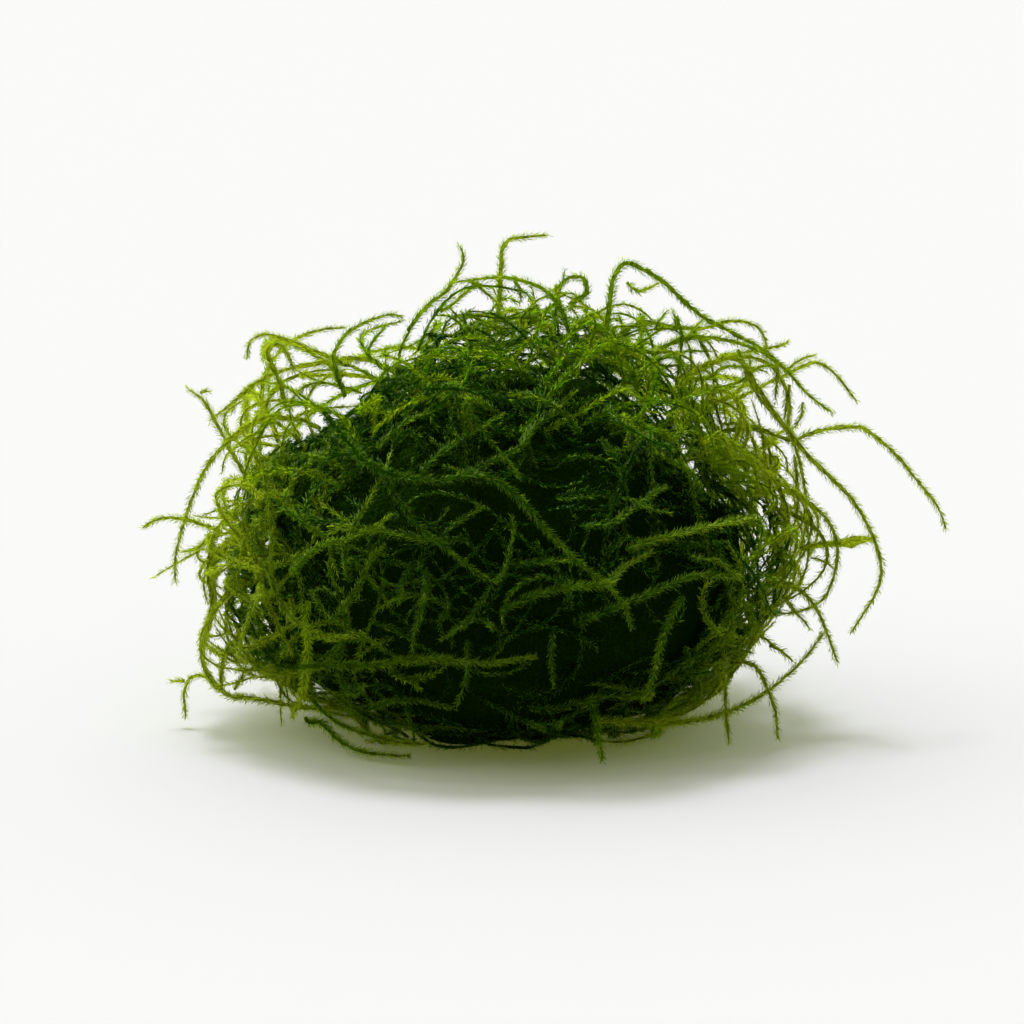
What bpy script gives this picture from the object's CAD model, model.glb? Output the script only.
# %% [markdown]
# # A clump of Java moss
#
# Java moss is sold as a loose handful of thin trailing fronds, each about a millimetre wide over
# its tiny pointed leaves. Hundreds of them loop over each other into one dark springy ball, with a
# bright ragged fringe where light comes through the leaves.
#
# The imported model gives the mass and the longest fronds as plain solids. Here the fronds are dressed
# with leaves, and hundreds of finer strands are laid over the mass and round its outline.

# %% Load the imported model
import math
from collections import namedtuple

import bmesh
import bpy
import numpy as np
from mathutils import Matrix, Vector, noise
from mathutils.bvhtree import BVHTree


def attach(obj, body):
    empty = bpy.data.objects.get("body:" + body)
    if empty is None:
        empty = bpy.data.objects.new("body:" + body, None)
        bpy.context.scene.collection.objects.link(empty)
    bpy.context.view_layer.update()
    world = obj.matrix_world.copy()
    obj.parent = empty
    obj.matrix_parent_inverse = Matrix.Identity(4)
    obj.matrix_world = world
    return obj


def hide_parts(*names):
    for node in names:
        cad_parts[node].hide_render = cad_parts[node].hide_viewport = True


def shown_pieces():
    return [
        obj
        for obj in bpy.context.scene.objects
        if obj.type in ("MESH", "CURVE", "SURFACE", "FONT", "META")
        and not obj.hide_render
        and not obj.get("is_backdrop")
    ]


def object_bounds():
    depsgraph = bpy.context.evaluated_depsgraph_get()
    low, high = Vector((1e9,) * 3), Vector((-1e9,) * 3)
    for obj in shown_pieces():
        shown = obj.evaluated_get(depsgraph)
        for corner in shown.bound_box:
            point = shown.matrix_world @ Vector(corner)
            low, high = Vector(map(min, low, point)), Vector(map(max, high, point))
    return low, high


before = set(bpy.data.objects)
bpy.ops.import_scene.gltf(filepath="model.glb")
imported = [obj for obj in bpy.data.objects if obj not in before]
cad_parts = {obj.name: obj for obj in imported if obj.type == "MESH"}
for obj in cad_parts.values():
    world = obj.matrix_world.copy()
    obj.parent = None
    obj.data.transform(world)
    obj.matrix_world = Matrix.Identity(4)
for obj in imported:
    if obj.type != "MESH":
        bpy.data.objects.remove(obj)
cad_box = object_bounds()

MM = 0.001
scene = bpy.context.scene
print("solids in the frame:", len(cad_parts))

# %% [markdown]
# ## Camera
#
# The clump was seen from in front and a little above. A long lens from far off keeps the fronds
# at the front and back the same size. Some strands further down are drawn by hand, in millimetres
# on the picture plane of this camera.

# %% Camera at the viewing angle
VIEW_TILT = math.radians(13.0)
LENS = 600.0
SENSOR = 36.0
VIEW_WIDTH = 128.0 * MM
VIEW_CENTRE = (0.9 * MM, 26.1 * MM)

view_up = Vector((0.0, math.sin(VIEW_TILT), math.cos(VIEW_TILT)))
view_ahead = Vector((0.0, math.cos(VIEW_TILT), -math.sin(VIEW_TILT)))


def add_object(name, data):
    """A new object, put into the scene."""
    made = bpy.data.objects.new(name, data)
    scene.collection.objects.link(made)
    return made


camera_data = bpy.data.cameras.new("viewing_camera")
camera_data.lens = LENS
camera_data.sensor_width = SENSOR
camera_data.clip_start = 0.01
camera_data.clip_end = 20.0
camera = add_object("viewing_camera", camera_data)
target = Vector((VIEW_CENTRE[0], 0.0, 0.0)) + view_up * VIEW_CENTRE[1]
camera.location = target - view_ahead * (VIEW_WIDTH * LENS / SENSOR)
camera.rotation_euler = (math.pi / 2 - VIEW_TILT, 0.0, 0.0)
scene.camera = camera
print("camera stands off by", round((camera.location - target).length, 3), "m")


# %% [markdown]
# ## Colours and nodes
#
# Colours are written as they look on screen, and one function turns them to the linear values that
# the renderer works in. Another adds a shader node, sets it and links it up.

# %% Helpers for materials
def linear(hex_colour):
    """An sRGB hex colour as linear red, green, blue and full alpha."""
    parts = [int(hex_colour[i:i + 2], 16) / 255 for i in (1, 3, 5)]
    return (*[c / 12.92 if c <= 0.04045 else ((c + 0.055) / 1.055) ** 2.4 for c in parts], 1.0)


def bare_tree(owner):
    """The node tree of a new material or world, with nothing in it."""
    owner.use_nodes = True
    owner.node_tree.nodes.clear()
    return owner.node_tree


def add_node(tree, kind, settings=None, inputs=None):
    """One new shader node. An input may be a value, or another node's socket to link from."""
    node = tree.nodes.new("ShaderNode" + kind)
    for name, value in (settings or {}).items():
        setattr(node, name, value)
    for name, value in (inputs or {}).items():
        if isinstance(value, bpy.types.NodeSocket):
            tree.links.new(value, node.inputs[name])
        else:
            node.inputs[name].default_value = value
    return node


def set_ramp(ramp, stops):
    """Gives a colour ramp its stops, as (place, hex colour)."""
    elements = ramp.color_ramp.elements
    while len(elements) < len(stops):
        elements.new(0.5)
    for element, (place, hex_colour) in zip(elements, stops):
        element.position = place
        element.color = linear(hex_colour)


print("moss green in linear light:", [round(c, 3) for c in linear("#4f6f14")])

# %% [markdown]
# ## Studio
#
# The clump lies on plain white paper that fills the view, so one large flat square will do. Uncoated
# paper scatters light evenly: it looks flat and white, with only a trace of sheen.

# %% Paper floor
FLOOR_HALF = 6.0
floor_shape = bmesh.new()
bmesh.ops.create_grid(floor_shape, x_segments=1, y_segments=1, size=FLOOR_HALF)
floor_mesh = bpy.data.meshes.new("paper_floor")
floor_shape.to_mesh(floor_mesh)
floor_shape.free()
floor = add_object("paper_floor", floor_mesh)

paper = bpy.data.materials.new("matt_white_paper")
tree = bare_tree(paper)
paper_shader = add_node(tree, "BsdfPrincipled", None, {
    "Base Color": linear("#f6f6f5"), "Roughness": 0.9, "Specular IOR Level": 0.1})
add_node(tree, "OutputMaterial", None, {"Surface": paper_shader.outputs[0]})
floor_mesh.materials.append(paper)
floor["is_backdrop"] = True
print("floor is", 2 * FLOOR_HALF, "m across")

# %% [markdown]
# ## Light
#
# The light comes from above and behind, a little from the left, through a large diffuser, so the
# fringe glows and the front is in its own shade. One far lamp lights the moss, and a weaker one the
# paper. Thin leaves let some yellow-green light through, so a third lamp, which the moss doesn't
# block, adds that to the soft shadow. The room round it all lights the shade: it is brighter behind
# the clump than in front, and plain white to the camera.

# %% Lamps over the moss and the paper
WHITE = Vector((1, 1, 1))
KEY_ON_PAPER = 1.55
KEY_ON_MOSS = 3.7
MOSS_FROM = Vector((-0.30, 0.36, 1.15))
PAPER_FROM = Vector((-0.12, 0.33, 1.15))
MOSS_LAMP = math.radians(27)
PAPER_LAMP = math.radians(16)
THROUGH_MOSS = Vector((0.20, 0.235, 0.02))


def far_lamp(name, strength, colour, place, width, lights, blocked_by=None):
    """A wide lamp far off, above and behind the clump, that lights only some things."""
    data = bpy.data.lights.new(name, "SUN")
    data.energy = strength
    data.color = colour
    data.angle = width
    lamp = add_object(name, data)
    lamp.rotation_mode = "QUATERNION"
    lamp.rotation_quaternion = place.to_track_quat("Z", "Y")
    lamp.light_linking.receiver_collection = lights
    lamp.light_linking.blocker_collection = blocked_by


only_floor = bpy.data.collections.new("only_floor")
only_floor.objects.link(floor)
all_but_floor = bpy.data.collections.new("all_but_floor")
all_but_floor.objects.link(floor)
all_but_floor.collection_objects[0].light_linking.link_state = "EXCLUDE"
far_lamp("diffuser_over_moss", KEY_ON_MOSS, WHITE, MOSS_FROM, MOSS_LAMP, all_but_floor)
far_lamp("diffuser_over_paper", KEY_ON_PAPER, WHITE - THROUGH_MOSS, PAPER_FROM, PAPER_LAMP, only_floor)
far_lamp("light_through_moss", KEY_ON_PAPER, THROUGH_MOSS, PAPER_FROM, PAPER_LAMP, only_floor, only_floor)
print("light falls", round(math.degrees(MOSS_FROM.angle(Vector((0, 0, 1))))), "degrees off overhead")

# %% White room
FRONT_FILL = 0.28
BACK_FILL = 1.05
BRIGHT_SIDE = Vector((-0.6, 0.8, 0.0))
FILL_RISES = (-0.4, 0.8)
WALL_WHITE = (0.95, 0.95, 0.95, 1.0)
world = bpy.data.worlds.new("white_room")
tree = bare_tree(world)
ray = add_node(tree, "LightPath")
towards = add_node(tree, "TexCoord")
towards_bright = add_node(tree, "VectorMath", {"operation": "DOT_PRODUCT"}, {
    0: towards.outputs["Generated"], 1: BRIGHT_SIDE})
strength = add_node(tree, "MapRange", {"interpolation_type": "SMOOTHSTEP"}, {
    "Value": towards_bright.outputs["Value"], "From Min": FILL_RISES[0], "From Max": FILL_RISES[1],
    "To Min": FRONT_FILL, "To Max": BACK_FILL})
room = add_node(tree, "Background", None, {
    "Color": (1.0, 1.0, 1.0, 1.0), "Strength": strength.outputs[0]})
seen = add_node(tree, "Background", None, {"Color": WALL_WHITE, "Strength": 1.0})
blend = add_node(tree, "MixShader", None, {
    0: ray.outputs["Is Camera Ray"], 1: room.outputs[0], 2: seen.outputs[0]})
add_node(tree, "OutputWorld", None, {"Surface": blend.outputs[0]})
scene.world = world
scene.view_settings.view_transform = "Standard"
scene.view_settings.look = "None"
print("fill light from", FRONT_FILL, "in front to", BACK_FILL, "behind")


# %% [markdown]
# ## Reading the solids
#
# A frond's solid is a six-sided tube, and the leafy frond needs its middle line. So the loose
# triangles are merged, the wider flat end is found, and the rings are walked from there to the tip.

# %% The middle line of each frond
SAME_PLACE = 0.002 * MM
FLAT_WITHIN = math.radians(0.6)
TUBE_SIDES = 6
EVEN_ARMS = 1.03
FROND_NAMES = sorted(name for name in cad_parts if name.startswith("frond_"))


def merged(name):
    """A copy of a node's mesh with its loose triangles joined."""
    shape = bmesh.new()
    shape.from_mesh(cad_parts[name].data)
    bmesh.ops.remove_doubles(shape, verts=shape.verts, dist=SAME_PLACE)
    return shape


def middle_line(name):
    """The points and radii of a frond's tube, from its root to its tip."""
    shape = merged(name)
    bmesh.ops.dissolve_limit(shape, angle_limit=FLAT_WITHIN, verts=shape.verts, edges=shape.edges)
    caps = []
    for face in shape.faces:
        middle = face.calc_center_median()
        arms = [(vertex.co - middle).length for vertex in face.verts]
        if len(arms) == TUBE_SIDES and max(arms) < EVEN_ARMS * min(arms):
            caps.append((sum(arms) / TUBE_SIDES, face))
    caps.sort(key=lambda cap: cap[0])
    shape.verts.index_update()
    ring = set(caps[-1][1].verts)
    walked = set(ring)
    points, radii = [], []
    while ring:
        # In order of number, so that the sums come out the same each run
        corners = [vertex.co for vertex in sorted(ring, key=lambda vertex: vertex.index)]
        middle = sum(corners, Vector()) / len(corners)
        points.append(middle)
        radii.append(sum((corner - middle).length for corner in corners) / len(corners))
        ring = {edge.other_vert(vertex) for vertex in ring for edge in vertex.link_edges} - walked
        walked |= ring
    shape.free()
    return points, radii


cad_lines = {name: middle_line(name) for name in FROND_NAMES}
total = sum((b - a).length for line, _ in cad_lines.values() for a, b in zip(line, line[1:]))
print(len(cad_lines), "fronds read from the solids,", round(total, 3), "m in all")

# %% [markdown]
# ## The mass
#
# Strands have to know where the mass is and which way is out of it. Its solid is kept as a surface
# that rays can meet. The way out comes from a plain ellipsoid of its size, because the solid's own
# bumps would turn a strand too often.

# %% The mass as a surface
MASS_AXES = Vector((35.5, 33.0, 27.0)) * MM
MASS_MIDDLE = Vector((0.0, 0.0, 22.6)) * MM
WELL_OUTSIDE = 0.2
UNDERSIDE = 1.2 * MM
mass_shape = merged("moss_mass")
mass_surface = BVHTree.FromBMesh(mass_shape)
mass_shape.faces.ensure_lookup_table()
mass_corners = np.array([[corner.vert.co for corner in face.loops][:3] for face in mass_shape.faces])
mass_shape.free()


def way_out(place):
    """The smooth way out of the mass near a place."""
    off = place - MASS_MIDDLE
    return Vector((off.x / MASS_AXES.x**2, off.y / MASS_AXES.y**2, off.z / MASS_AXES.z**2)).normalized()


def skin_towards(place):
    """The place on the surface that lies in the same direction from the middle."""
    direction = (place - MASS_MIDDLE).normalized()
    hit, _, _, _ = mass_surface.ray_cast(MASS_MIDDLE + direction * WELL_OUTSIDE, -direction)
    return hit


def scattered(count, rng):
    """Places spread evenly by area over the surface, with none on its underside."""
    sides = mass_corners[:, 1:] - mass_corners[:, :1]
    areas = np.linalg.norm(np.cross(sides[:, 0], sides[:, 1]), axis=1)
    areas[mass_corners[:, :, 2].min(1) < UNDERSIDE] = 0.0
    which = rng.choice(len(areas), count, p=areas / areas.sum())
    a, b = rng.random((2, count, 1))
    flip = a + b > 1.0
    a, b = np.where(flip, 1 - a, a), np.where(flip, 1 - b, b)
    return mass_corners[which, 0] + sides[which, 0] * a + sides[which, 1] * b


print("the mass has", len(mass_corners), "faces")

# %% [markdown]
# ## Strands
#
# A strand here is a line of evenly spaced points with the reach of the leaves at each, and a
# shade from 0, old and dark, to 1, young and bright. Real moss grows pale at its tips, so the
# shade rises along each strand.

# %% Smooth, evenly spaced lines
STEP = 0.5 * MM
FROND_REACH = 0.70 * MM
TIP_REACH = 0.36 * MM
SPOTS_A_SPAN = 8
Strand = namedtuple("Strand", "line reach shade tip_shade zone density")


def evenly(line):
    """The same line with its points a step apart."""
    gone = np.concatenate([[0.0], np.cumsum(np.linalg.norm(np.diff(line, axis=0), axis=1))])
    count = max(3, int(gone[-1] / STEP) + 1)
    wanted = np.linspace(0, gone[-1], count)
    return np.stack([np.interp(wanted, gone, line[:, axis]) for axis in range(3)], 1)


def even_line(points):
    """A smooth curve through the points, as evenly spaced places."""
    points = [np.array(point, float) for point in points]
    padded = [2 * points[0] - points[1], *points, 2 * points[-1] - points[-2]]
    t = np.linspace(0, 1, SPOTS_A_SPAN + 1)[:-1, None]
    spans = []
    for before, start, end, after in zip(padded, padded[1:], padded[2:], padded[3:]):
        spans.append(0.5 * (
            2 * start + (end - before) * t + (2 * before - 5 * start + 4 * end - after) * t * t
            + (3 * start - before - 3 * end + after) * t**3))
    return evenly(np.concatenate([*spans, points[-1][None]]))


def tapering(count, size, power=2.2):
    """The reach of the leaves at each of so many points: nearly even, then less towards the tip."""
    share = np.linspace(0, 1, count)
    return TIP_REACH + (FROND_REACH * size - TIP_REACH) * (1 - share**power)


print("leaves reach, in mm from root to tip:", (tapering(5, 1.0) / MM).round(2))


# %% [markdown]
# ## Drawing on the picture plane
#
# The clearest strands are placed by eye. Each is a few points, across and up in millimetres as the
# camera sees them, at a depth that is either a distance back from the clump's middle or a height
# over the skin of the mass.

# %% From the picture plane into the scene
def on_plane(across, up):
    """The place of a point of the picture, in millimetres, on the plane through the middle."""
    return Vector((across * MM, 0.0, 0.0)) + view_up * up * MM


def from_drawing(across, up, back):
    """The place seen at a point of the picture, and that far back."""
    sight = on_plane(across, up) - camera.location
    return np.array(camera.location + sight * ((back * MM - camera.location.y) / sight.y))


def on_face(across, up, lift):
    """The place seen at a point of the picture, that high above the skin of the mass."""
    drawn = on_plane(across, up)
    sight = (drawn - camera.location).normalized()
    skin, _, _, _ = mass_surface.ray_cast(drawn - sight * WELL_OUTSIDE, sight)
    if skin is None:
        skin = skin_towards(drawn + sight * (MASS_MIDDLE - drawn).dot(sight))
    return np.array(skin + way_out(skin) * lift * MM)


print("the skin at the middle of the picture, in mm:", (on_face(0, 26, 0) / MM).round(1))


# %% [markdown]
# ## Age and leafiness
#
# The moss on the front is old and dark, and gets younger and brighter towards the light and to both
# sides. The left has grown a fine close fuzz, and the back is sparse.

# %% Shade and share of leaves by place
FRONT_EDGE = 0.65
FRONT_FADE = 0.75
SIDE_EDGE = 0.35
BRIGHTER_BEHIND = 0.34
BRIGHTER_LEFT = 0.95
BRIGHTER_RIGHT = 0.6
BRIGHTER_LOW = 0.6
LEFT_LEAVES = 1.4
BACK_LEAVES = 0.75


def grown(line, shade, exposed=1.0):
    """The shade of a strand that starts from this one, for where the strand is."""
    out = way_out(Vector(line[len(line) // 2]))
    away = np.clip((out.y + FRONT_EDGE) / FRONT_FADE, 0, 1)
    side = max(0.0, abs(out.x) - SIDE_EDGE) * (BRIGHTER_LEFT if out.x < 0 else BRIGHTER_RIGHT)
    low = abs(out.x) * max(0.0, -out.z)
    return shade + exposed * (BRIGHTER_BEHIND * away + side + BRIGHTER_LOW * low)


def leafy(line, density):
    """The share of leaves on a strand, for where the strand is."""
    out = way_out(Vector(line[len(line) // 2]))
    return density * (LEFT_LEAVES if out.x < -0.3 and out.y < 0.3 else BACK_LEAVES if out.y > 0.45 else 1.0)


print("the left end is brighter by", round(grown([MASS_MIDDLE + Vector((-MM, 0, 0))], 0.0), 2))

# %% [markdown]
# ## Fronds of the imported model
#
# Each long frond takes its line from its solid, so that leaves and solid share one place. One that
# grows out of the mass gets a short root inside it, and its leaves reach a little past the tube.

# %% Strands of the solid fronds
BEYOND_SOLID = 1.85
ROOT_DEPTH = 2.8 * MM
SOLID_SHADES = {"back": 0.30, "face": 0.42, "fringe": 0.34}
SHADE_SPREAD = (-0.14, 0.1)
SOLID_LEAVES = 1.7
DRAWN_LEAVES = 1.6
strands = []
rng = np.random.default_rng(5)


def add_strand(line, size, shade, brighter, zone, density, power=2.2):
    """Adds a strand whose leaves taper and whose tip is that much brighter than its root."""
    reach = tapering(len(line), size, power)
    strands.append(Strand(line, reach, shade, shade + brighter, zone, density))


for name, (points, radii) in cad_lines.items():
    skin = skin_towards(points[0])
    if (points[0] - MASS_MIDDLE).length < (skin - MASS_MIDDLE).length + 1.0 * MM:
        points = [points[0] - way_out(skin) * ROOT_DEPTH, *points]
        radii = [radii[0], *radii]
    line = even_line(points)
    reach = np.interp(np.linspace(0, 1, len(line)), np.linspace(0, 1, len(radii)), radii)
    reach = np.maximum(reach * BEYOND_SOLID, TIP_REACH)
    zone = "back" if "back" in name else "face" if "face" in name else "fringe"
    shade = grown(line, SOLID_SHADES[zone]) + rng.uniform(*SHADE_SPREAD)
    strands.append(Strand(line, reach, shade, shade + 0.3, zone, SOLID_LEAVES))
print(len(strands), "strands so far")


# %% [markdown]
# ## Strands that creep over the mass
#
# Most of the clump is fronds lying over fronds. Each is walked over the surface a stride at a time,
# with a steady bend, and arches off it in the middle. Many of these at different depths leave the
# dark hollows that give the moss its depth.

# %% A strand walked over the mass
STRIDE = 1.3 * MM
NEARLY_LEVEL = 0.6
MOST_SWING = 0.14
SMOOTHINGS = 3
TURNS_BACK = 1.0 * MM
LOWEST_LINE = 0.75 * MM


def creeping(start, level_share, length, bend, heights, rng):
    """A line over the mass, at the given heights above its skin from root to tip."""
    place = Vector(start)
    normal = way_out(place)
    level = normal.cross(Vector((0, 0, 1))).normalized()
    widest = NEARLY_LEVEL if rng.random() < level_share else math.pi / 2
    turn = rng.uniform(-widest, widest)
    heading = Matrix.Rotation(turn + (math.pi if rng.random() < 0.5 else 0.0), 3, normal) @ level
    count = max(4, int(length / STRIDE))
    swing = rng.uniform(-MOST_SWING, MOST_SWING)
    spots = []
    for number in range(count):
        skin = skin_towards(place)
        normal = way_out(skin)
        share = number / (count - 1)
        height = np.interp(share, np.linspace(0, 1, len(heights)), heights)
        spots.append(skin + normal * height)
        heading = Matrix.Rotation(bend + swing * number / 4, 3, normal) @ heading
        heading = (heading - normal * heading.dot(normal)).normalized()
        place = skin + heading * STRIDE
        if place.z < TURNS_BACK:
            break
    line = np.array(spots)
    for _ in range(SMOOTHINGS):
        line[1:-1] = (line[:-2] + 2 * line[1:-1] + line[2:]) / 4
    line[:, 2] = np.maximum(line[:, 2], LOWEST_LINE)
    return line


# %% [markdown]
# ## Strands that cross the front
#
# Some two dozen strands stand out on the front of the real clump and give it its grain. They are
# drawn by hand, a little above the skin, so that they cross the finer moss behind them. The last
# few lie along the dark bottom edge.

# %% Drawn strands of the front
# Each is its height above the skin in mm, its size, and its places (across, up) in mm
FACE_LINES = [
    (1.6, 0.95, [(-15.5, 33), (-13.1, 35.5), (-10.6, 36.9), (-8.9, 37.6)]),
    (1.7, 0.95, [(-10.2, 30.2), (-7.8, 32.6), (-4.2, 34.8), (-0.1, 37.2)]),
    (1.8, 1.0, [(-5, 29.9), (-1.5, 31.6), (1.6, 33), (3.4, 35.5), (5.5, 37.1), (8.4, 39.8)]),
    (2.4, 1.1, [(-25, 18.5), (-23.6, 20.2), (-21.1, 21.9), (-18, 22.6), (-15.1, 23.9), (-13.4, 25.2)]),
    (1.6, 0.95, [(-20.8, 13), (-18.6, 15.4), (-17.2, 17.9), (-16.2, 20), (-14.5, 21.8)]),
    (3.6, 1.1, [(-27.2, 20.1), (-25.6, 16.1), (-24.2, 14), (-22.1, 12.6), (-20.1, 11.9), (-17.2, 11.9)]),
    (3.2, 1.1, [(-35, 23.2), (-33.4, 21.5), (-31.2, 20.1), (-28.1, 19.1)]),
    (2.6, 1.0, [(-27.5, 27.6), (-27.2, 22.6), (-27.2, 16.4)]),
    (4.2, 1.0, [(-26.9, 17), (-27.8, 15.8), (-28.8, 13.6), (-29.6, 11.6), (-30, 10.1)]),
    (1.8, 1.0, [(-14.5, 30.1), (-13, 27.4), (-10.2, 23.9), (-7.8, 22), (-4.2, 19.2), (-1.1, 17.6),
                (0.2, 19.6), (1, 23.1), (0.8, 25.2)]),
    (0.8, 0.8, [(-7.8, 23), (-5.4, 24.9), (-2.9, 26.2)]),
    (1.4, 0.9, [(0.1, 19.8), (4, 19.8), (8.1, 20)]),
    (1.9, 1.0, [(9, 24), (12.8, 24.4), (15.9, 26.6), (19.2, 28.6)]),
    (1.2, 0.9, [(22.4, 20.5), (25.4, 20), (28.5, 18.2)]),
    (2.6, 1.3, [(20.8, 16), (19.2, 13.2), (18.1, 10.2), (17.4, 7.1), (16.2, 4.1)]),
    (1.2, 0.9, [(5.9, 11.8), (5.6, 8.8), (5.9, 4.9)]),
    (1.4, 1.0, [(-9.5, 19.2), (-9.5, 16.1), (-10.6, 12.6), (-11.2, 9.4)]),
    (0.9, 0.9, [(-11, 20), (-12.4, 17.5), (-13, 14.8)]),
    (0.9, 0.9, [(-4.6, 10.5), (-4.6, 6.2), (-6, 2.4)]),
    (0.9, 0.9, [(-16.5, 2.1), (-13.8, 3.1), (-10.2, 3.1), (-6.4, 2.2)]),
    (1.0, 0.9, [(-1.5, 17.1), (-2.9, 15), (-4.6, 12.6), (-7.8, 10.5)]),
    (-0.6, 0.8, [(-13, -1.2), (-8, -1.9), (-2, -2.2), (4, -2), (9, -1.4)]),
    (-0.4, 0.8, [(-4, -2.4), (2, -2.6), (8, -2.3), (13, -1.5)]),
    (-0.7, 0.8, [(-20, 1), (-14, -0.9), (-8, -1.5), (-3, -1.7)]),
    (-0.5, 0.8, [(5, -1.9), (11, -1.6), (17, -0.6), (22, 0.8)]),
]
for lift, size, drawn in FACE_LINES:
    line = even_line([on_face(across, up, lift) for across, up in drawn])
    shade = grown(line, 0.40 if lift > 0 else 0.15)
    add_strand(line, size, shade, 0.2, "face", DRAWN_LEAVES)
print(len(FACE_LINES), "strands drawn on the front")


# %% [markdown]
# ## Thin fronds of the outline
#
# Between the long fronds the outline has thinner ones, too many for solids. They are drawn by hand
# too, because the outline is what tells this clump from any other.

# %% Drawn strands of the outline
def add_drawn(lines, young, size, brighter, power, uneven=False):
    """Adds a strand for each line, given as how far back it lies and its (across, up), in mm."""
    for back, drawn in lines:
        line = even_line([from_drawing(across, up, back) for across, up in drawn])
        shade = grown(line, young)
        if uneven:
            shade += rng.uniform(*SHADE_SPREAD)
        add_strand(line, size, shade, brighter, "rim", DRAWN_LEAVES, power)
    print(len(lines), "strands drawn,", len(strands), "in all")


RIM_LINES = [
    (-4, [(-38.1, 41), (-37.5, 41.2), (-36.9, 41.2)]),
    (-5, [(-34.1, 35.1), (-31.9, 36.8), (-30, 37.5), (-28.1, 37.8), (-25.6, 37.6)]),
    (-3, [(-33.1, 34.4), (-31.6, 35.1), (-29.4, 35.6), (-26.9, 35.6)]),
    (-1, [(-31.6, 34.5), (-31.1, 32.6), (-30.4, 30.4)]),
    (-2, [(-28, 41.6), (-29.4, 40.5), (-29.9, 38.6), (-30, 37.6)]),
    (0, [(-17.2, 46.1), (-16.5, 47.4), (-15.6, 48.5), (-14.8, 49.5)]),
    (-5, [(-36.5, 22), (-36.5, 20.1), (-36.4, 17.6), (-36, 15.1)]),
    (-4, [(-36.6, 18.2), (-36.2, 15.1), (-36.5, 12.9), (-37.2, 11.1), (-37.8, 9.1), (-37.6, 7.4),
          (-37.1, 6.1), (-36.2, 4.9), (-35.4, 3.9)]),
    (-3, [(-40, 5), (-40.9, 5), (-41.9, 5)]),
    (-5, [(-35.4, 3.9), (-35.4, 6.1), (-35, 8.2), (-34, 9.8), (-32.5, 10.9), (-30.9, 11.4)]),
    (-6, [(-33.8, 3.9), (-32.9, 5.4), (-32.4, 7)]),
    (0, [(1.2, 55), (1.9, 53.9), (2, 52.4)]),
    (-3, [(-4.4, 55.1), (-3.1, 54.2), (-1.9, 53.1), (-0.9, 52.2)]),
    (-1, [(29.1, 46.4), (30, 43.9), (31.2, 41.4), (32.5, 39.5), (34.1, 37.6), (35.9, 35.8), (36.9, 34.5)]),
    (1, [(26.9, 37), (29.4, 37.2), (31.6, 36.6), (33.8, 35.6), (35.6, 34.9)]),
    (3, [(24.4, 39.9), (26.9, 39.9), (28.8, 41), (30, 42.2)]),
    (4, [(25, 42.2), (26, 40.8), (26.5, 38.9), (26.9, 37)]),
    (0, [(36.2, 33.2), (36.5, 30.1), (36.6, 27), (36.1, 23.9), (35.6, 20.8)]),
    (-2, [(37.9, 26.4), (38.4, 24.5), (37.8, 22), (36.9, 20.1)]),
    (2, [(34.1, 45.1), (34, 42.6), (33.8, 40.1)]),
    (1, [(35.6, 42), (35.2, 39.9), (35, 37.6)]),
    (2, [(37.2, 39.8), (37.1, 38.2), (36.2, 36.6)]),
    (3, [(32.5, 46.4), (34.1, 46.8), (35.6, 47.4)]),
    (2, [(35, 43.6), (36.6, 44.9), (37.9, 45.5), (38.8, 45.6)]),
    (-3, [(36.9, 21.6), (39.4, 22.1), (41.9, 22.2), (43.8, 22.5), (46.2, 22.8)]),
    (-6, [(26.9, 34.5), (28.8, 30.1), (30, 27), (31.9, 23.9), (33.8, 21.4)]),
    (-5, [(35, 15.4), (36.5, 13.4), (37.5, 12.4), (38.1, 11.4)]),
]
add_drawn(RIM_LINES, young=0.34, size=1.2, brighter=0.25, power=2.2, uneven=True)

# %% [markdown]
# ## Outline of the close mass
#
# Strands that are scattered by chance have to stop where the real mass stops, or the clump gets too
# round. Its outline is drawn as (across, up) in millimetres, and a strand that is seen beyond it is
# left out.

# %% Keeping strands inside an outline
FEWEST_PLACES = 5
DENSE_OUTLINE = [
    (-34, 4), (-37.5, 10), (-37.5, 16), (-36, 22), (-35, 27.5), (-32, 31.5), (-27, 35),
    (-21, 38), (-17, 41.5), (-12.5, 46), (-7, 50.5), (0, 52.5), (7, 53), (14.5, 51.5),
    (21, 48.5), (27.5, 43.5), (31.5, 38), (34, 32), (35.5, 25), (36.5, 19), (35.5, 12.5),
    (32, 7), (26, 1.5), (18, -2.4), (0, -3.7), (-15, -3.2), (-26, -1)]


def seen_inside(line, outline):
    """For each place of the line, whether it is seen inside the outline."""
    ends = np.array(outline + outline[:1]) * MM
    across, up = line[:, 0], line @ np.array(view_up)
    inside = np.zeros(len(line), bool)
    for (x0, y0), (x1, y1) in zip(ends, ends[1:]):
        crosses = (y0 > up) != (y1 > up)
        inside ^= crosses & (across < x0 + (up - y0) / (y1 - y0 + 1e-12) * (x1 - x0))
    return inside


def crept(*walk):
    """An even line that creeps over the mass, or None where it is short or leaves the outline."""
    line = creeping(*walk)
    if len(line) < FEWEST_PLACES or not seen_inside(line, DENSE_OUTLINE).all():
        return None
    return even_line(line[::2])


def facing(start):
    """How far a place on the mass faces away from the viewer, from -1 to 1."""
    return way_out(Vector(start)).y


print("the outline of the close mass has", len(DENSE_OUTLINE), "corners")

# %% [markdown]
# ## Layers of the mass
#
# The mass is three layers of strands at different depths. The deepest are few and bare, and lie
# close over the heart. Fewer are kept on the front, where the real clump is open and hollow, and
# those are smaller and a little brighter. Round the foot, a skirt of nearly level strands closes
# the dark gap over the paper.

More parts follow.
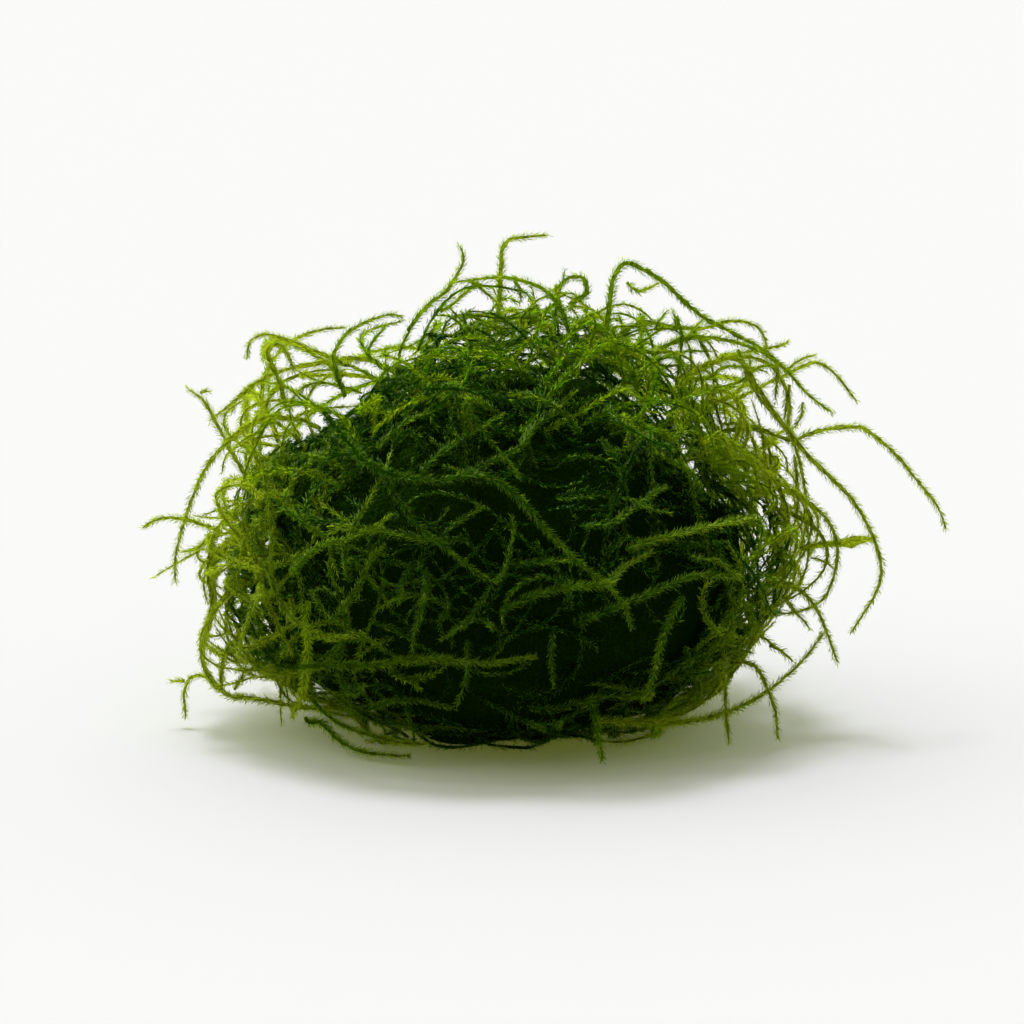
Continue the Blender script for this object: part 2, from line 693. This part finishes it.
# %% Three layers of strands
# Heights are over the skin at the root, middle and tip, and all lengths are in mm. The density is
# the share of leaves, and on_front the share of strands that is kept on the front.
Layer = namedtuple("Layer", "zone tries heights lengths shades size density on_front")
LAYERS = [
    Layer("deep", 150, (-4.4, -3.0, -4.0), (12, 24), (0.08, 0.20), 1.0, 0.22, 0.0),
    Layer("inner", 330, (-2.6, -0.9, -2.2), (14, 28), (0.04, 0.18), 0.9, 0.36, 0.5),
    Layer("outer", 320, (-1.2, 1.5, -0.4), (14, 30), (0.12, 0.32), 0.9, 0.62, 0.42),
]
FRONT_FACES = -0.6
WAVER = 1.0
FRONT_SINKS = 0.8
SHELTERED = 0.45
FRONT_SIZE = 0.75
FRONT_BRIGHTER = 0.1
for layer in LAYERS:
    for start in scattered(layer.tries, rng):
        on_front = facing(start) < FRONT_FACES
        if on_front and rng.random() > layer.on_front:
            continue
        length = rng.uniform(*layer.lengths) * MM
        heights = np.interp(np.linspace(0, 2, 5), (0, 1, 2), layer.heights) * MM
        heights += rng.normal(0, WAVER, 5) * MM
        heights += FRONT_SINKS * MM * min(0.0, facing(start))
        line = crept(start, 0.5, length, rng.normal(0, 0.2), heights, rng)
        if line is None:
            continue
        shade = grown(line, rng.uniform(*layer.shades), 1.0 if layer.zone == "outer" else SHELTERED)
        size = layer.size * rng.uniform(0.85, 1.1)
        if on_front:
            size *= FRONT_SIZE
            shade += FRONT_BRIGHTER
        add_strand(line, size, shade, 0.15, layer.zone, leafy(line, layer.density))
print(len(strands), "strands with the layers of the mass")

# %% Skirt of strands round the foot
SKIRT = 90
SKIRT_HEIGHTS = (-1.0, 0.8, -0.6)
SKIRT_LEAVES = 0.6
for turn in rng.permutation(SKIRT) * 2 * math.pi / SKIRT:
    foot = MASS_MIDDLE + Vector((math.cos(turn), math.sin(turn), -rng.uniform(0.62, 1.05))) * MM
    heights = np.array(SKIRT_HEIGHTS) * MM
    line = crept(skin_towards(foot), 0.8, rng.uniform(12, 22) * MM, rng.normal(0, 0.08), heights, rng)
    if line is not None:
        shade = grown(line, rng.uniform(0.05, 0.25))
        add_strand(line, 1.0, shade, 0.15, "outer", SKIRT_LEAVES)
print(len(strands), "strands with the skirt")

# %% [markdown]
# ## Patches of fuzz
#
# On its left and low on its right the moss has grown a close soft fuzz of short stems. A third patch,
# deeper in, covers the heart at the left of the top, where strands are few. Each patch has a seed
# of its own, so that one can change and leave the rest as it is.

# %% Short close stems
# in_x, in_y and lowest_z say which part of the mass is covered, by its way out. Depths are under the
# skin at the root, middle and tip, in mm.
Patch = namedtuple("Patch", "tries seed in_x in_y lowest_z depths shades density")
FUZZ = [
    Patch(330, 8, (-1.0, -0.3), (-0.65, 0.65), -1.0, (-2.4, -0.6, -1.6), (0.22, 0.42), 0.98),
    Patch(230, 9, (0.25, 1.0), (-0.85, 0.05), -1.0, (-2.4, -0.6, -1.6), (0.16, 0.34), 0.98),
    Patch(480, 10, (-0.95, -0.1), (-0.35, 0.75), 0.05, (-5.4, -3.6, -4.8), (0.12, 0.36), 0.75),
]
FUZZ_SIZE = 1.5
for patch in FUZZ:
    fuzz_rng = np.random.default_rng(patch.seed)
    for start in scattered(patch.tries, fuzz_rng):
        out = way_out(Vector(start))
        in_x = patch.in_x[0] <= out.x <= patch.in_x[1]
        in_y = patch.in_y[0] <= out.y <= patch.in_y[1]
        if not in_x or not in_y or out.z < patch.lowest_z:
            continue
        length = fuzz_rng.uniform(9, 16) * MM
        heights = np.array(patch.depths) * MM
        line = crept(start, 0.4, length, fuzz_rng.normal(0, 0.25), heights, fuzz_rng)
        if line is not None:
            shade = fuzz_rng.uniform(*patch.shades)
            add_strand(line, FUZZ_SIZE, shade, 0.15, "fuzz", patch.density)
print(len(strands), "strands with the fuzz")

# %% [markdown]
# ## Fringe
#
# All round the clump, shorter fronds leave the surface, arch over and end free or dive back in.
# Against the light these make the bright open network of the outline. A second outline and the box
# of the solids say how far they may reach.

# %% Limits of the fringe
FRINGE_OUTLINE = [
    (-37.5, 3), (-38, 10), (-37.5, 15), (-39, 20), (-39.5, 26), (-38, 33), (-36, 38),
    (-31.5, 43.5), (-27, 46.5), (-20, 49.5), (-11, 51.5), (-4, 54.5), (4, 55.5), (10, 55),
    (16, 53), (24, 51.5), (32, 47.5), (38, 44.5), (39.5, 38.5), (40, 33), (41.5, 27),
    (41.5, 20), (41.5, 14.5), (38, 9), (33, 4), (27, 1), (17, -2.5), (0, -4.3),
    (-15, -3.5), (-26, -1), (-33, 1)]


def within_box(line, spare=1.0 * MM):
    """True where the line keeps to the box round the solids, with a little to spare."""
    low, high = (np.array(corner) for corner in cad_box)
    return ((line > low - spare) & (line < high + spare)).all()


print("the outline of the fringe has", len(FRINGE_OUTLINE), "corners")

# %% Loops and free ends
LOOPS = 460
LOW_START = 14 * MM
LOW_RISE = 0.45
FRONT_RISE = 0.4
FRONT_LEFT_OUT = 0.82
FREE_ENDS = 0.6
BENDS = (-0.22, 0.0, 0.0, 0.0, 0.22)
LOOP_LEAVES = 0.9


def share_kept(middle, start):
    """The share of loops kept: few at the open left crown, all at the full right side."""
    if facing(start) > 0.6:
        return 0.6
    if middle @ np.array(view_up) > 30 * MM and middle[0] < -8 * MM:
        return 0.36
    return 1.0 if middle[0] > 12 * MM else 0.6


kept = 0
for start in scattered(LOOPS, rng):
    length = rng.uniform(9, 24) * MM
    rise = rng.uniform(1.5, 7.0) * MM
    if start[2] < LOW_START:
        rise *= LOW_RISE
    if facing(start) < FRONT_FACES:
        if rng.random() < FRONT_LEFT_OUT:
            continue
        rise *= FRONT_RISE
    end = (0.95, 0.7) if rng.random() < FREE_ENDS else (0.5, -0.1)
    bend = rng.normal(0, 0.13) + rng.choice(BENDS)
    heights = (-2.5 * MM, 0.5 * rise, rise, end[0] * rise, end[1] * rise)
    line = creeping(start, 0.35, length, bend, heights, rng)
    if len(line) < FEWEST_PLACES:
        continue
    line = even_line(line[::2])
    if not seen_inside(line, FRINGE_OUTLINE).all() or not within_box(line):
        continue
    if rng.random() > share_kept(line[len(line) // 2], start):
        continue
    kept += 1
    shade = grown(line, rng.uniform(0.02, 0.5))
    add_strand(line, rng.uniform(0.9, 1.4), shade, 0.25, "loops", leafy(line, LOOP_LEAVES))
print(kept, "loops kept of", LOOPS)

# %% [markdown]
# ## Roots, and the net of the right crown
#
# Where the fringe is open its fronds would seem to float, so their roots are drawn down into the
# mass. The right crown is a close net of thinner fronds, which is drawn too.

# %% Drawn roots and net
ROOT_LINES = [
    (-4.5, [(29, 12.3), (31.3, 11.1), (33.6, 9.5)]),
    (2, [(-13.5, 42.5), (-13.3, 44.8), (-12.9, 46.8), (-11.9, 48.8)]),
    (8, [(-12, 42), (-14.8, 44.2), (-17.5, 45.2), (-19, 45.2)]),
    (-7.5, [(-23, 36.5), (-25.5, 37.6), (-28, 38)]),
    (-2, [(-25, 33.5), (-26, 35.8), (-26.8, 37.8)]),
    (1, [(-15, 42), (-18, 43.8), (-21, 45)]),
    (-6, [(-20, 40.5), (-20.8, 42.8), (-21.2, 44.8)]),
    (-1.5, [(-30.5, 27), (-32, 29.8), (-33, 32)]),
]
NET_LINES = [
    (2, [(21.5, 50.6), (22.1, 47.9), (21.9, 45.3), (21.5, 42.5)]),
    (5, [(23.2, 49.3), (24.8, 46.8), (25.9, 44.2), (26.2, 41)]),
    (1, [(16.9, 44.4), (20.1, 45.5), (23, 46.2), (26, 46.2)]),
    (3, [(22, 43.3), (25.2, 42.7), (27.4, 44.2), (30.3, 44.2), (32.8, 43.6)]),
    (-1, [(24.6, 41.2), (28.9, 42.2), (30.3, 43.1), (31.8, 44.2), (34, 44.4)]),
    (4, [(18.8, 48.9), (19.5, 50.3), (20.3, 51.3)]),
    (3, [(21.5, 48.8), (21.4, 50.2), (20.9, 51.2)]),
    (0, [(15.2, 45.9), (17.9, 47.9), (20.2, 49.3)]),
    (6, [(10.2, 47.9), (12, 48.8), (14.6, 49.3), (17.3, 49.3)]),
    (7, [(26.9, 45.7), (29.6, 46), (32, 46.4)]),
]
add_drawn(ROOT_LINES, young=0.3, size=1.3, brighter=0.1, power=6.0)
add_drawn(NET_LINES, young=0.25, size=1.1, brighter=0.2, power=4.0)


# %% [markdown]
# ## Side twigs
#
# Java moss branches as it grows: a frond throws short twigs to its sides, at about half a right
# angle. They are too small for solids, and without them the fronds look like wire.

# %% Short twigs on the longer fronds
TWIGS_PER_MM = {"back": 0.02, "loops": 0.015, "outer": 0.02}
LOWEST_TWIG = 0.7 * MM
TWIG_AHEAD = 0.75
TWIG_ASIDE = 0.75
TWIG_CURVE = 0.5
TWIG_SIZE = 0.75
TWIG_LEAVES = 0.9


def twig_from(strand, at, rng):
    """The line of a twig that leaves a strand that far along it, sideways, forwards and outwards."""
    line = strand.line
    index = int(at * (len(line) - 2)) + 1
    heading = line[index] - line[index - 1]
    heading /= np.linalg.norm(heading)
    side = np.cross(heading, rng.normal(size=3))
    side /= np.linalg.norm(side)
    if side @ np.array(way_out(Vector(line[index]))) < 0:
        side = -side
    length = rng.uniform(1.6, 4.6) * MM
    bend = np.cross(heading, side) * rng.uniform(-0.4, 0.4)
    t = np.linspace(0, 1, max(4, int(length / STEP)))[:, None]
    away = heading * TWIG_AHEAD + side * TWIG_ASIDE + bend * t + heading * TWIG_CURVE * t
    twig = line[index] + away * t * length
    twig[:, 2] = np.maximum(twig[:, 2], LOWEST_TWIG)
    return evenly(twig)


twigs = []
for strand in strands:
    length = STEP * len(strand.line)
    for _ in range(rng.poisson(TWIGS_PER_MM.get(strand.zone, 0.0) * length / MM)):
        at = rng.uniform(0.15, 0.9)
        twig = twig_from(strand, at, rng)
        if not within_box(twig):
            continue
        shade = strand.shade + (strand.tip_shade - strand.shade) * at
        reach = tapering(len(twig), TWIG_SIZE)
        twigs.append(Strand(twig, reach, shade, shade + 0.2, strand.zone, TWIG_LEAVES))
strands += twigs
print(len(twigs), "side twigs")

# %% [markdown]
# ## Clearing at the low right
#
# Here the clump curls under, and only long fronds stand out over the paper. Shorter ones that are
# seen there are left out at the end, so that no other one changes.

# %% Only long fronds at the low right
CLEAR_LOW_RIGHT = [
    (46, 16), (37, 16), (34.4, 13), (30.8, 8), (27.5, 4), (22, 0.3), (17, -2.6),
    (17, -9), (46, -9)]
LONG_FRONDS = ("fringe", "back", "face", "rim")
before = len(strands)
strands = [
    strand for strand in strands
    if strand.zone in LONG_FRONDS or not seen_inside(strand.line, CLEAR_LOW_RIGHT).any()]
print(before - len(strands), "strands left out at the low right")

# %% [markdown]
# ## Leaves
#
# A Java moss leaf is a folded lance about 1 mm long and a third as wide, set close along the stem
# and pointing forward. Each is a closed four-sided sliver: base, two widest points and tip. In the
# middle of the frond, the stem with the leaves' folded bases pressed to it is a rough tube of four
# or five sides. There are far too many leaves for objects of their own, so they are stamped along
# the strands as arrays, and each piece of the clump is joined to one mesh.

# %% Leaves along a strand
LEAVES_PER_MM = 14.5
LEAF_WIDTH = 0.19 * MM
LONGEST_LEAF = 0.95 * MM
WIDEST_AT = 0.4
TURN_PER_LEAF = 2.4
LEAN_DEGREES = (24, 66)
PALE_SHARE = 0.04
CORE_SHARE = 0.25
SHADE_LIMITS = (0.02, 0.97)
LEAF_MARKS = (0.12, 0.45, 0.45, 0.95)
LEAF_FACES = np.array([(0, 2, 1), (1, 2, 3), (0, 1, 3), (0, 3, 2)])


def unit(vectors):
    """The same vectors, each with a length of 1."""
    return vectors / np.maximum(np.linalg.norm(vectors, axis=-1, keepdims=True), 1e-12)


def directions_along(line):
    """The heading and an untwisted sideways direction at each point."""
    heading = unit(np.gradient(line, axis=0))
    side = np.empty_like(heading)
    last = np.cross(heading[0], (0.31, 0.17, 0.94))
    for index, ahead in enumerate(heading):
        last = last - ahead * (ahead @ last)
        last = last / np.linalg.norm(last)
        side[index] = last
    return heading, side


def leaves_on(strand, rng):
    """Corners, triangles and places on the colour map of all the leaves of a strand."""
    line = strand.line
    heading, side = directions_along(line)
    length = STEP * (len(line) - 1)
    count = max(4, int(length / MM * LEAVES_PER_MM * strand.density))
    at = (np.arange(count) + rng.uniform(0, 0.7, count)) / count * (len(line) - 1)
    low = np.minimum(at.astype(int), len(line) - 2)
    share = (at - low)[:, None]

    def blend(values):
        return values[low] * (1 - share) + values[low + 1] * share

    ahead, beside = unit(blend(heading)), unit(blend(side))
    above = np.cross(beside, ahead)
    turn = np.arange(count) * TURN_PER_LEAF + rng.normal(0, 0.5, count)
    out = np.cos(turn)[:, None] * beside + np.sin(turn)[:, None] * above
    broad = np.cross(out, ahead)
    lean = np.radians(rng.uniform(*LEAN_DEGREES, count))
    reach = blend(strand.reach[:, None])[:, 0]
    root = reach * CORE_SHARE * 0.75
    size = np.minimum((reach * rng.uniform(0.7, 1.5, count) - root) / np.sin(lean), LONGEST_LEAF)
    size, lean = size[:, None], lean[:, None]
    along = np.cos(lean) * ahead + np.sin(lean) * out
    face = np.cross(along, broad)
    width = LEAF_WIDTH * (0.5 + 0.5 * size / MM) * rng.uniform(0.6, 1.2, (count, 1)) / 2
    width *= strand.density ** -0.3
    base = blend(line) + out * root[:, None]
    middle = base + along * size * WIDEST_AT
    fold = face * width * 0.35
    curl = face * size * rng.uniform(-0.12, 0.2, (count, 1))
    corners = np.stack([base, middle + broad * width + fold, middle - broad * width + fold,
                        base + along * size + curl], 1)
    shade = strand.shade + (strand.tip_shade - strand.shade) * at / (len(line) - 1)
    shade = shade + rng.normal(0, 0.14, count) + 0.5 * (rng.random(count) < PALE_SHARE)
    shade = np.clip(shade, *SHADE_LIMITS)
    marks = np.empty((count, 4, 2))
    marks[:, :, 0] = shade[:, None] + np.array((0.0, -0.008, 0.008, 0.0))
    marks[:, :, 1] = LEAF_MARKS
    faces = LEAF_FACES + 4 * np.arange(count)[:, None, None]
    return corners.reshape(-1, 3), faces.reshape(-1, 3), marks.reshape(-1, 2)


# %% The core of a strand
CORE_ROUGH = 0.2
FULL_LEAVES = 1.0
CORE_MARKS = (0.01, 0.09)


def core_of(strand, rng):
    """Corners, triangles and places on the colour map of the close core of a strand."""
    every, sides = (1, 5) if strand.density >= FULL_LEAVES else (2, 4)
    picked = np.unique(np.append(np.arange(0, len(strand.line), every), len(strand.line) - 1))
    line = strand.line[picked]
    heading, side = directions_along(line)
    above = np.cross(side, heading)
    radius = strand.reach[picked] * CORE_SHARE
    radius[-1] *= 0.4
    rings = []
    for corner in range(sides):
        turn = corner * 2 * math.pi / sides
        rough = (radius * (1 + rng.normal(0, CORE_ROUGH, len(line))))[:, None]
        rings.append(line + (math.cos(turn) * side + math.sin(turn) * above) * rough)
    corners = np.stack(rings, 1).reshape(-1, 3)
    count = len(line)
    ring = sides * np.arange(count - 1)[:, None]
    a = ring + np.arange(sides)
    b = ring + (np.arange(sides) + 1) % sides
    walls = np.stack([a, a + sides, b, b, a + sides, b + sides], -1).reshape(-1, 3)
    last = sides * (count - 1)
    start_cap = [(0, corner, corner + 1) for corner in range(1, sides - 1)]
    end_cap = [(last, last + corner + 1, last + corner) for corner in range(1, sides - 1)]
    shade = np.repeat(np.linspace(strand.shade, strand.tip_shade, count), sides)
    marks = np.stack([np.clip(shade, *SHADE_LIMITS), rng.uniform(*CORE_MARKS, count * sides)], 1)
    return corners, np.concatenate([walls, start_cap, end_cap]), marks


# %% One mesh from many strands
OFF_PAPER = 0.05 * MM


def moss_piece(name, chosen, material, rng):
    """One joined mesh of all the cores and leaves of some strands."""
    corners, faces, marks, first = [], [], [], 0
    for strand in chosen:
        for make in (leaves_on, core_of):
            new_corners, new_faces, new_marks = make(strand, rng)
            corners.append(new_corners)
            faces.append(new_faces + first)
            marks.append(new_marks)
            first += len(new_corners)
    corners, faces, marks = np.concatenate(corners), np.concatenate(faces), np.concatenate(marks)
    corners[:, 2] = np.maximum(corners[:, 2], OFF_PAPER)
    mesh = bpy.data.meshes.new(name)
    mesh.vertices.add(len(corners))
    mesh.vertices.foreach_set("co", corners.astype(np.float32).ravel())
    mesh.loops.add(len(faces) * 3)
    mesh.loops.foreach_set("vertex_index", faces.astype(np.int32).ravel())
    mesh.polygons.add(len(faces))
    mesh.polygons.foreach_set("loop_start", np.arange(0, 3 * len(faces), 3, dtype=np.int32))
    layer = mesh.uv_layers.new(name="OFBake")
    layer.uv.foreach_set("vector", marks[faces.ravel()].astype(np.float32).ravel())
    mesh.update(calc_edges=True)
    mesh.validate()
    mesh.materials.append(material)
    piece = add_object(name, mesh)
    print(name, "has", len(chosen), "strands and", len(faces), "triangles")
    return piece


print(len(strands), "strands to be dressed")

# %% [markdown]
# ## Moss leaf
#
# A moss leaf is one cell thick, so light goes through it: from behind it glows yellow-green, and
# from the front it is a deep dull green with a faint gloss where it is wet. The shader mixes an
# ordinary surface with a translucent one. The colour map runs from old to young across, and from
# the mottled core to the leaf's pale tip upwards.

# %% Leaf materials
CORE_TO_LEAF = 0.12
WET_ROUGHNESS = 0.32


def leaf_material(name, surface_stops, glow_stops, tip_surface, tip_glow, glow_share, gloss):
    """A thin leaf's two sets of colours, for light thrown back and for light let through."""
    material = bpy.data.materials.new(name)
    tree = bare_tree(material)
    place = add_node(tree, "UVMap", {"uv_map": "OFBake"})
    parts = add_node(tree, "SeparateXYZ", None, {0: place.outputs[0]})
    towards_tip = add_node(tree, "MapRange", {"interpolation_type": "SMOOTHSTEP"}, {
        "Value": parts.outputs["Y"], "From Min": 0.45, "From Max": 1.0, "To Min": 0.0, "To Max": 0.5})
    in_light = add_node(tree, "MapRange", None, {
        "Value": parts.outputs["Y"], "From Min": 0.0, "From Max": CORE_TO_LEAF,
        "To Min": 0.25, "To Max": 1.0})
    colours = []
    for stops, tip in ((surface_stops, tip_surface), (glow_stops, tip_glow)):
        ramp = add_node(tree, "ValToRGB", None, {0: parts.outputs["X"]})
        set_ramp(ramp, stops)
        paled = add_node(tree, "Mix", {"data_type": "RGBA"}, {
            0: towards_tip.outputs[0], 6: ramp.outputs[0], 7: linear(tip)})
        mottled = add_node(tree, "Mix", {"data_type": "RGBA", "blend_type": "MULTIPLY"}, {
            0: 1.0, 6: paled.outputs[2], 7: in_light.outputs[0]})
        colours.append(mottled.outputs[2])
    wet = add_node(tree, "MapRange", None, {
        "Value": parts.outputs["Y"], "From Min": CORE_TO_LEAF, "From Max": 0.9,
        "To Min": 0.0, "To Max": gloss})
    surface = add_node(tree, "BsdfPrincipled", None, {
        "Base Color": colours[0], "Roughness": WET_ROUGHNESS, "Specular IOR Level": wet.outputs[0]})
    glow = add_node(tree, "BsdfTranslucent", None, {"Color": colours[1]})
    mixed = add_node(tree, "MixShader", None, {
        0: glow_share, 1: surface.outputs[0], 2: glow.outputs[0]})
    add_node(tree, "OutputMaterial", None, {"Surface": mixed.outputs[0]})
    return material


# Young leaves are thin and clear, so nearly all their colour is light that comes through them
lit_leaf = leaf_material(
    "young_java_moss_leaf",
    [(0.0, "#14380a"), (0.35, "#3e7010"), (0.7, "#76a01c"), (1.0, "#a0c430")],
    [(0.0, "#3c7a10"), (0.35, "#aedc28"), (0.7, "#def444"), (1.0, "#f2fc70")],
    "#9cc630", "#ecfc7c", 0.88, 0.1)
# Older leaves are thicker and stay wet, so they are darker, with small pale glints at their tips
shaded_leaf = leaf_material(
    "shaded_java_moss_leaf",
    [(0.0, "#122c0a"), (0.35, "#2a5610"), (0.7, "#54801a"), (1.0, "#84ac28")],
    [(0.0, "#2e600c"), (0.35, "#82b81e"), (0.7, "#cce830"), (1.0, "#ecf850")],
    "#7c9c40", "#e0f464", 0.75, 1.0)
print("leaf materials:", lit_leaf.name, "and", shaded_leaf.name)

# %% [markdown]
# ## Heart
#
# Deep inside, the moss is so dense that no light comes back out. A lumpy dark body under the
# strands stands for it, closed all round, and everything else lies over it.

# %% Heart under the strands
HEART_DEPTH = 5.8 * MM
FRONT_DEPTH = 3.6 * MM
BASE_DEPTH = 1.6 * MM
LUMP_SIZE = 9.0 * MM
KNOB_SIZE = 2.0 * MM
OVER_PAPER = 0.1 * MM
heart_shape = bmesh.new()
bmesh.ops.create_icosphere(heart_shape, subdivisions=5, radius=1.0)
for vertex in heart_shape.verts:
    skin = skin_towards(MASS_MIDDLE + vertex.co.normalized() * MM)
    out = way_out(skin)
    full_depth = np.interp(out.y, (-0.8, -0.3), (FRONT_DEPTH, HEART_DEPTH))
    depth = np.interp(skin.z, (3 * MM, 18 * MM), (BASE_DEPTH, full_depth))
    depth *= 1 - 0.4 * noise.noise(skin / LUMP_SIZE) - 0.1 * noise.noise(skin / KNOB_SIZE)
    vertex.co = skin - out * depth
for _ in range(SMOOTHINGS):
    bmesh.ops.smooth_vert(heart_shape, verts=heart_shape.verts, factor=0.5,
                          use_axis_x=True, use_axis_y=True, use_axis_z=True)
for vertex in heart_shape.verts:
    vertex.co.z = max(vertex.co.z, OVER_PAPER)
bmesh.ops.recalc_face_normals(heart_shape, faces=heart_shape.faces)
heart_mesh = bpy.data.meshes.new("moss_heart")
heart_shape.to_mesh(heart_mesh)
heart_shape.free()
heart_mesh.shade_smooth()
heart = add_object("moss_heart", heart_mesh)
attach(heart, "root")
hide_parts("moss_mass")
print("the heart has", len(heart_mesh.polygons), "triangles")

# %% [markdown]
# ## Old matted moss
#
# What shows between the strands is old moss pressed flat: nearly black in its hollows, with a
# grain of leaf-sized patches that is clearer towards the light. It is rough, with no gloss.

# %% Material of the heart
LEAF_LENGTH = 0.8 * MM
TO_LIGHT = Vector((-0.5, 0.8, 0.35))
DARK_BEFORE = -14 * MM
LIT_FROM = 22 * MM
old_moss = bpy.data.materials.new("old_matted_moss")
tree = bare_tree(old_moss)
place = add_node(tree, "TexCoord")
stirred = add_node(tree, "TexNoise", None, {
    "Vector": place.outputs["Object"], "Scale": 1 / (3 * LEAF_LENGTH), "Detail": 2.0})
wander = add_node(tree, "VectorMath", {"operation": "MULTIPLY_ADD"}, {
    0: stirred.outputs["Color"], 1: Vector((1, 1, 1)) * 2 * LEAF_LENGTH, 2: place.outputs["Object"]})
leaves = add_node(tree, "TexVoronoi", {"feature": "DISTANCE_TO_EDGE"}, {
    "Vector": wander.outputs[0], "Scale": 1 / LEAF_LENGTH})
fine = add_node(tree, "TexNoise", None, {
    "Vector": wander.outputs[0], "Scale": 1 / (0.4 * LEAF_LENGTH), "Detail": 3.0, "Roughness": 0.7})
mixed = add_node(tree, "Math", {"operation": "MULTIPLY_ADD"}, {
    0: leaves.outputs["Distance"], 1: -0.6, 2: fine.outputs[0]})
tint = add_node(tree, "ValToRGB", None, {0: mixed.outputs[0]})
set_ramp(tint, [(0.10, "#081203"), (0.35, "#162b07"), (0.52, "#2c4a0d"), (0.70, "#4e761a")])
towards_light = add_node(tree, "VectorMath", {"operation": "DOT_PRODUCT"}, {
    0: place.outputs["Object"], 1: TO_LIGHT})
lit = add_node(tree, "MapRange", {"interpolation_type": "SMOOTHSTEP"}, {
    "Value": towards_light.outputs["Value"], "From Min": DARK_BEFORE, "From Max": LIT_FROM,
    "To Min": 0.87, "To Max": 0.35})
hollow = add_node(tree, "Mix", {"data_type": "RGBA"}, {
    0: lit.outputs[0], 6: tint.outputs[0], 7: linear("#091e00")})
bump = add_node(tree, "Bump", None, {
    "Strength": 1.0, "Distance": 0.5 * MM, "Height": mixed.outputs[0]})
old_shader = add_node(tree, "BsdfPrincipled", None, {
    "Base Color": hollow.outputs[2], "Normal": bump.outputs[0], "Roughness": 1.0,
    "Specular IOR Level": 0.0})
add_node(tree, "OutputMaterial", None, {"Surface": old_shader.outputs[0]})
heart_mesh.materials.append(old_moss)
print("leaf-sized patches are", LEAF_LENGTH / MM, "mm")

# %% [markdown]
# ## Pieces of the clump
#
# The strands become a few pieces by where they grow: the long fronds, in place of their solids, the
# tangle over the mass and the loops of the fringe. The outline has the young leaves that the light
# comes through.

# %% Dressing every strand
leaf_rng = np.random.default_rng(21)


def side_of(strand):
    """Which side of the clump a strand is on, from the way out of the mass at its middle."""
    out = way_out(Vector(strand.line.mean(0)))
    if out.y < -0.45:
        return "front"
    if out.z > 0.65:
        return "crown"
    if out.y > abs(out.x):
        return "back"
    return "left" if out.x < 0 else "right"


def dress(name, chosen, material, nodes):
    """Makes one piece from the chosen strands, in place of the nodes, if it stands for any."""
    piece = moss_piece(name, chosen, material, leaf_rng)
    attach(piece, "root")
    if nodes:
        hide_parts(*nodes)


dress("fringe_fronds", [s for s in strands if s.zone in ("fringe", "rim")], lit_leaf,
      [n for n in FROND_NAMES if "back" not in n and "face" not in n])
dress("face_fronds", [s for s in strands if s.zone == "face"], shaded_leaf,
      [n for n in FROND_NAMES if "face" in n])
dress("back_fronds", [s for s in strands if s.zone == "back"], lit_leaf,
      [n for n in FROND_NAMES if "back" in n])
SIDES = ("front", "left", "right", "back", "crown")
for side in SIDES:
    chosen = [s for s in strands if s.zone in ("deep", "inner", "outer", "fuzz") and side_of(s) == side]
    dress("tangle_" + side, chosen, shaded_leaf, [])
for side in SIDES:
    chosen = [s for s in strands if s.zone == "loops" and side_of(s) == side]
    dress("loops_" + side, chosen, shaded_leaf if side == "front" else lit_leaf, [])

total = sum(len(o.data.polygons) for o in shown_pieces() if o.type == "MESH")
print("triangles in all:", total)
